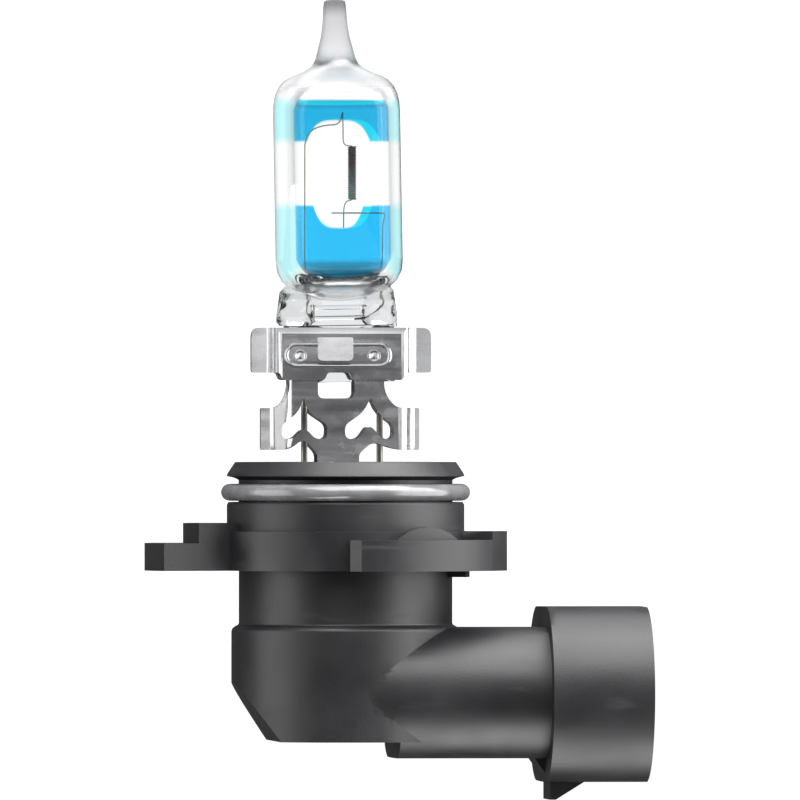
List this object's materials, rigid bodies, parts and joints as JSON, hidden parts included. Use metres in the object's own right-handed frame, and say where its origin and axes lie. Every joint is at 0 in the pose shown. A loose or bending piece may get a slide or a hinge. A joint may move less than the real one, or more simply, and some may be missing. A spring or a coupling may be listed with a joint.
{
  "type": "headlight bulb",
  "caption": "halogen headlight bulb: blue-banded quartz capsule with a clear window in a welded metal carrier, on a round plastic base with lugs, seal ring and right-angle connector",
  "frame": {"origin": "on the lamp axis, in the plane of the lugs' front faces, which seat against the headlamp housing", "axes": "+Z along the lamp axis towards the glass tip, +X towards the mouth of the connector"},
  "size_m": [0.0466, 0.0299, 0.0748],
  "materials": {
    "base_plastic": "satin moulded black nylon",
    "ring_silicone": "smooth light grey silicone",
    "disc_plastic": "satin moulded black nylon",
    "potting_resin": "cast dull brown sealing compound",
    "terminal_brass": "stamped and tin flashed",
    "lead_nickel": "drawn nickel-plated wire",
    "frame_steel": "stamped stainless strip, satin",
    "clip_steel": "stamped stainless strip, satin",
    "foil_molybdenum": "rolled foil",
    "filament_tungsten": "coiled wire, dull",
    "quartz_glass": "clear fire-polished quartz",
    "blue_filter": "glossy interference coating"
  },
  "bodies": {
    "root": {"base_body": "base_plastic", "sealing_ring": "ring_silicone", "retainer_disc": "disc_plastic", "potting_plug": "potting_resin", "terminal_front": "terminal_brass", "terminal_rear": "terminal_brass", "outer_lead_left": "lead_nickel", "outer_lead_right": "lead_nickel", "carrier_frame_front": "frame_steel", "carrier_frame_rear": "frame_steel", "pinch_clip_front": "clip_steel", "pinch_clip_rear": "clip_steel", "foil_left": "foil_molybdenum", "foil_right": "foil_molybdenum", "inner_lead_long": "lead_nickel", "inner_lead_short": "lead_nickel", "filament_coil": "filament_tungsten", "glass_envelope": "quartz_glass", "blue_coating_upper": "blue_filter", "blue_coating_lower": "blue_filter"}
  },
  "joints": []
}
